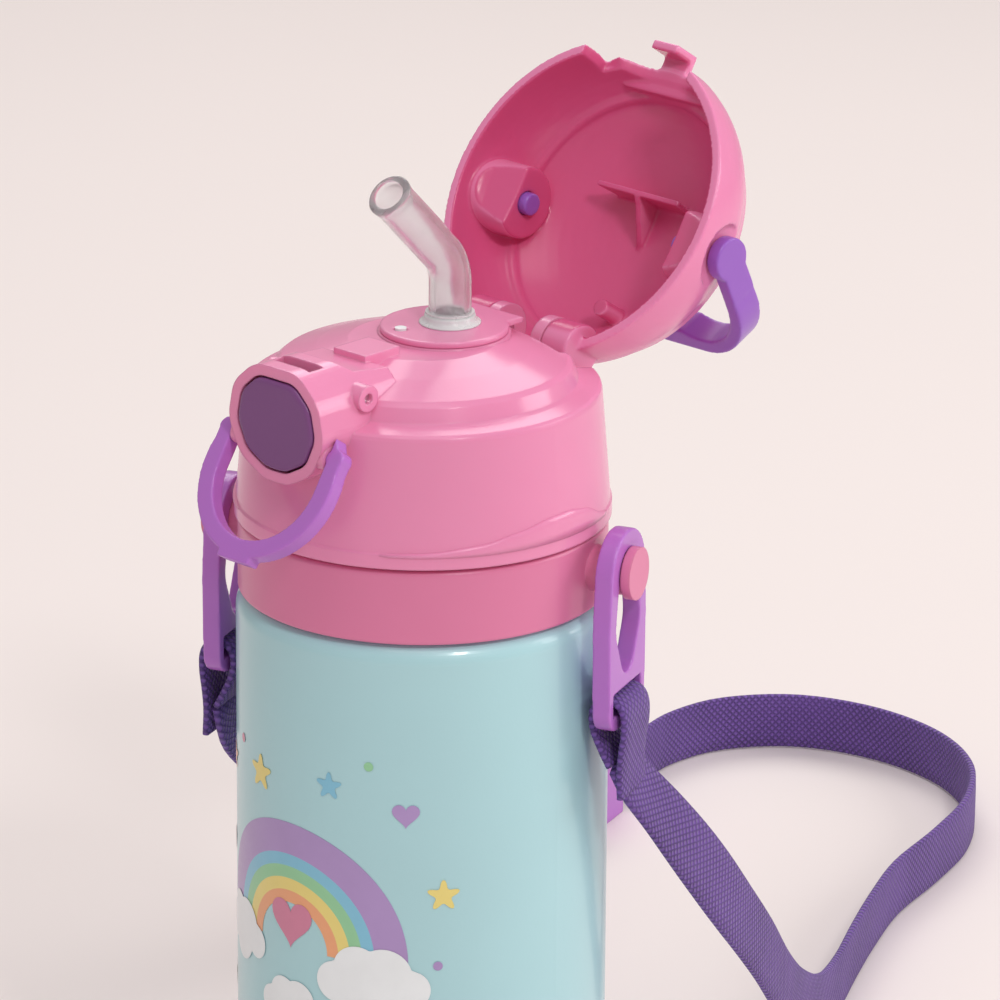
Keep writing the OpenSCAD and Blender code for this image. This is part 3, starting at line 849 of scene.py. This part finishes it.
def makeSpoutCollar(line, y, sides=48):
    # a soft lip that closes the gap round the spout's foot
    vertices, faces = [], []
    for r, z in line:
        for k in range(sides):
            t = math.tau * k / sides
            vertices.append((r * math.cos(t) * mm, (y + r * math.sin(t)) * mm, (rimZ + z) * mm))
    for i in range(len(line)):
        for k in range(sides):
            a, b = i * sides + k, i * sides + (k + 1) % sides
            above = ((i + 1) % len(line)) * sides
            faces.append((above + k, above + (k + 1) % sides, b, a))
    collar = newPiece("spout_collar", vertices, faces, "frosted", "cap")


makeSpout(spoutFacts)
makeSpoutCollar(spoutCollarLine, spoutFacts["axisY"])
print("spout made")


waveFacts = {
    "proud": 0.5,
    "soft": 0.32,
    "base": 142.2,
    "heights": [  # degrees round the skirt from its side towards the back, and the edge's height
        (-62, 142.6), (-44, 143.0), (-28, 144.0), (-15, 145.5), (-4, 146.8), (5, 147.0), (14, 146.0),
        (24, 143.4), (32, 142.4),
    ],
    "columns": 120,
    "smoothing": 6,
    "fadeColumns": 8,
    "edgeRows": 5.5,
    "rows": [(0.0, -0.3), (0.0, 1.0), (0.35, 1.0), (0.7, 1.0), (0.86, 0.92), (0.95, 0.62), (1.0, -0.25)],
    "flatShare": 0.8,  # rows below this share follow the band, the others stay near its edge
}
skirtFacts = {"radius": 34.9, "height": 142.8, "taper": 0.0821}


def skirtRadius(z):
    return skirtFacts["radius"] - (z - skirtFacts["height"]) * skirtFacts["taper"]


def waveHeight(degrees, facts):
    table = facts["heights"]
    if degrees <= table[0][0]:
        return table[0][1]
    for (a, low), (b, high) in zip(table, table[1:]):
        if degrees <= b:
            t = (degrees - a) / (b - a)
            t = (t * t * (3 - 2 * t) + t) / 2
            return low + (high - low) * t
    return table[-1][1]


def makeWave(sign, name, facts):
    first, last = facts["heights"][0][0], facts["heights"][-1][0]
    columns = facts["columns"]
    tops = [waveHeight(first + (last - first) * i / columns, facts) for i in range(columns + 1)]
    for _ in range(facts["smoothing"]):
        inner = [(tops[i - 1] + 2 * tops[i] + tops[i + 1]) / 4 for i in range(1, columns)]
        tops = [tops[0]] + inner + [tops[-1]]
    rows = facts["rows"]
    vertices, faces = [], []
    for i, top in enumerate(tops):
        angle = math.radians(first + (last - first) * i / columns)
        fade = min(1, i / facts["fadeColumns"], (columns - i) / facts["fadeColumns"])
        for share, lift in rows:
            if share < facts["flatShare"]:
                z = facts["base"] + (top - facts["base"]) * share
            else:
                z = top - (1 - share) * facts["edgeRows"] * facts["soft"]
            radius = skirtRadius(z) + facts["proud"] * lift * (fade if lift > 0 else 1)
            vertices.append((sign * radius * math.cos(angle) * mm, radius * math.sin(angle) * mm, z * mm))
    count = len(rows)
    for i in range(columns):
        for k in range(count - 1):
            a = i * count + k
            quad = (a, a + count, a + count + 1, a + 1)
            faces.append(quad if sign > 0 else tuple(reversed(quad)))
    wave = newPiece(name, vertices, faces, "cap", "cap")


makeWave(1, "skirt_wave_right", waveFacts)
makeWave(-1, "skirt_wave_left", waveFacts)
print("skirt wave made")


printFacts = {
    "lift": 0.05,
    "layerLift": 0.05,
    "sliceStep": 1.2,
    "archSteps": 72,
    "archCentre": (0, 62),
    "bands": [
        (24.5, 18.2, "lavender"), (18.2, 15.8, "sky"), (15.8, 13.4, "mint"), (13.4, 11.0, "butter"),
        (11.0, 8.6, "peach"),
    ],
    "clouds": [(-17.5, 60, 12, "white"), (17.5, 58, 13.5, "white"), (0, 50, 10, "white")],
    "hearts": [
        (0, 67, 5.2, "rose"), (-29, 74, 3.2, "rose"), (29.5, 47, 3.6, "rose"), (24, 92, 2.6, "lavender"),
    ],
    "stars": [
        (-9, 94, 3.4, "butter"), (9, 96, 2.6, "sky"), (-25, 92, 2.8, "peach"), (31, 76, 3.0, "butter"),
        (-30, 46, 3, "mint"),
    ],
    "dots": [
        (-17, 98, 0.9, "rose"), (17, 101, 0.9, "mint"), (30, 62, 0.9, "lavender"), (-32, 60, 0.9, "sky"),
        (0, 38, 0.9, "rose"), (-14, 42, 0.9, "butter"), (14, 41, 0.9, "lavender"),
    ],
    "cloudPuffs": [  # place and radius of each puff, as shares of the cloud's half width
        (-0.52, -0.05, 0.3), (-0.2, 0.16, 0.36), (0.18, 0.12, 0.4), (0.55, -0.06, 0.28), (0, -0.12, 0.42),
    ],
    "starWaves": (0.74, 0.26, 0.05),
    "heartSteps": 40,
    "starSteps": 60,
    "dotSteps": 20,
    "cloudSteps": 96,
    "innerShare": 0.004,  # the first ring of a filled shape, so that its middle stays open
}
inks = {
    "white": paint(240, 244, 246), "lavender": paint(176, 146, 200), "sky": paint(132, 196, 222),
    "mint": paint(150, 208, 160), "butter": paint(238, 218, 128), "peach": paint(240, 168, 122),
    "rose": paint(214, 130, 160),
}
for inkName, inkColour in inks.items():
    finishes["ink_" + inkName] = printedInk("ink" + inkName.capitalize(), inkColour)


def heartLine(cx, cz, size, facts):
    points = []
    for i in range(facts["heartSteps"]):
        t = math.tau * i / facts["heartSteps"]
        x = 16 * math.sin(t) ** 3
        z = 13 * math.cos(t) - 5 * math.cos(2 * t) - 2 * math.cos(3 * t) - math.cos(4 * t)
        points.append((cx + x * size / 16, cz + z * size / 16))
    return points


def starLine(cx, cz, size, facts):
    middle, fives, tens = facts["starWaves"]
    points = []
    for i in range(facts["starSteps"]):
        t = math.tau * i / facts["starSteps"]
        reach = size * (middle + fives * math.cos(5 * t) + tens * math.cos(10 * t))
        points.append((cx + reach * math.sin(t), cz + reach * math.cos(t)))
    return points


def dotLine(cx, cz, size, facts):
    turns = [math.tau * i / facts["dotSteps"] for i in range(facts["dotSteps"])]
    return [(cx + size * math.cos(t), cz + size * math.sin(t)) for t in turns]


def cloudLine(cx, cz, width, facts):
    points = []
    for i in range(facts["cloudSteps"]):
        angle = math.tau * i / facts["cloudSteps"]
        way = (math.cos(angle), math.sin(angle))
        reach = 0
        for px, pz, r in facts["cloudPuffs"]:
            along = px * way[0] + pz * way[1]
            off = px * px + pz * pz - along * along
            if off < r * r:
                reach = max(reach, along + math.sqrt(r * r - off))
        points.append((cx + way[0] * reach * width, cz + way[1] * reach * width))
    return points


def wrapShape(name, rings, closed, ink, layer, facts):
    # rows of points (round the body, up) laid on the front of the body and joined by quads
    radius = bodyRadius + facts["lift"] + facts["layerLift"] * layer
    vertices, faces = [], []
    for ring in rings:
        for u, z in ring:
            angle = -math.pi / 2 + u / bodyRadius
            vertices.append((radius * math.cos(angle) * mm, radius * math.sin(angle) * mm, z * mm))
    count = len(rings[0])
    for i in range(len(rings) - 1):
        for k in range(count if closed else count - 1):
            a, b = i * count + k, i * count + (k + 1) % count
            faces.append((a, b, b + count, a + count))
    first, second, third = (Vector(vertices[i]) for i in faces[0][:3])
    if (second - first).cross(third - second).y > 0:
        faces = [tuple(reversed(face)) for face in faces]
    shape = newPiece(name, vertices, faces, "ink_" + ink, "bottle")


def fillShape(outline, centre, facts):
    # rings from just off the centre out to the outline
    cu, cz = centre
    reach = max(math.hypot(u - cu, z - cz) for u, z in outline)
    steps = max(2, math.ceil(reach / facts["sliceStep"]))
    shares = [facts["innerShare"]] + [i / steps for i in range(1, steps + 1)]
    return [[(cu + (u - cu) * t, cz + (z - cz) * t) for u, z in outline] for t in shares]


def makeArch(facts):
    cx, cz = facts["archCentre"]
    turns = [math.pi * j / facts["archSteps"] for j in range(facts["archSteps"] + 1)]
    for i, (outer, inner, ink) in enumerate(facts["bands"]):
        steps = max(2, math.ceil((outer - inner) / facts["sliceStep"]))
        rings = []
        for k in range(steps + 1):
            r = inner + (outer - inner) * k / steps
            rings.append([(cx + r * math.cos(t), cz + r * math.sin(t)) for t in turns])
        wrapShape(f"print_arch_{i + 1}", rings, False, ink, 0, facts)


def makePrint(facts):
    makeArch(facts)
    kinds = (("hearts", heartLine, 1), ("stars", starLine, 1), ("dots", dotLine, 1), ("clouds", cloudLine, 2))
    for kind, line, layer in kinds:
        for i, (u, z, size, ink) in enumerate(facts[kind]):
            rings = fillShape(line(u, z, size, facts), (u, z), facts)
            wrapShape(f"print_{kind}_{i + 1}", rings, True, ink, layer, facts)


makePrint(printFacts)
print("print made")


studioFacts = {
    "floor": paint(244, 234, 231),
    "floorDrift": 3.0,
    "floorGrain": 400.0,
    "floorShade": 0.985,
    "floorRough": 0.7,
    "sweepStart": 3.5,
    "sweepBend": 0.6,
    "wallHeight": 3.0,
    "world": (1.0, 0.975, 0.965, 1),
    "worldStrength": 0.44,
    "lights": [
        ("keyLight", (0.86, -0.3, 0.95), 0.16, 3.6, (1, 0.985, 0.975)),
        ("sideLight", (0.8, 0.9, 0.6), 0.6, 5.0, (1, 0.98, 0.975)),
        ("backLight", (-0.6, 0.65, 0.95), 0.7, 4.6, (1, 0.985, 0.98)),
        ("topLight", (0.3, -0.3, 1.15), 0.7, 2.4, (1, 1, 1)),
    ],
    "lightAim": (0, 0, 0.13),
}


def makeStudio(facts):
    start, bend, tall = facts["sweepStart"], facts["sweepBend"], facts["wallHeight"]
    rows = [(-start, 0), (start, 0)]
    for degrees in range(10, 91, 10):
        t = math.radians(degrees)
        rows.append((start + bend * math.sin(t), bend - bend * math.cos(t)))
    rows.append((start + bend, tall))
    turn = math.radians(cameraFacts["azimuth"])
    ahead = Vector((-math.sin(turn), math.cos(turn), 0))
    side = Vector((math.cos(turn), math.sin(turn), 0))
    vertices, faces = [], []
    for reach, height in rows:
        for across in (-start, start):
            vertices.append(ahead * reach + side * across + Vector((0, 0, height)))
    for i in range(len(rows) - 1):
        faces.append((2 * i, 2 * i + 1, 2 * i + 3, 2 * i + 2))
    mesh = bpy.data.meshes.new("studioFloor")
    mesh.from_pydata([tuple(v) for v in vertices], [], faces)
    for face in mesh.polygons:
        face.use_smooth = True
    floor = bpy.data.objects.new("studioFloor", mesh)
    bpy.context.scene.collection.objects.link(floor)
    material, tree, shader = newMaterial("paperFloor")
    skin = useGroup(tree, "grain", Drift_Scale=facts["floorDrift"], Grain_Scale=facts["floorGrain"])
    darker = shade(facts["floor"], facts["floorShade"])
    tone = blendColours(tree, ranged(tree, skin.outputs["Drift"], 0, 1), darker, facts["floor"])
    tree.links.new(tone, shader.inputs["Base Color"])
    shader.inputs["Roughness"].default_value = facts["floorRough"]
    mesh.materials.append(material)
    world = bpy.data.worlds.new("studioAir")
    world.use_nodes = True
    air = world.node_tree.nodes["Background"]
    air.inputs["Color"].default_value = facts["world"]
    air.inputs["Strength"].default_value = facts["worldStrength"]
    bpy.context.scene.world = world
    for name, place, size, power, colour in facts["lights"]:
        data = bpy.data.lights.new(name, "AREA")
        data.shape, data.size, data.energy, data.color = "SQUARE", size, power, colour
        light = bpy.data.objects.new(name, data)
        light.location = place
        light.rotation_euler = (Vector(place) - Vector(facts["lightAim"])).to_track_quat("Z", "Y").to_euler()
        bpy.context.scene.collection.objects.link(light)


makeStudio(studioFacts)
print("studio made")
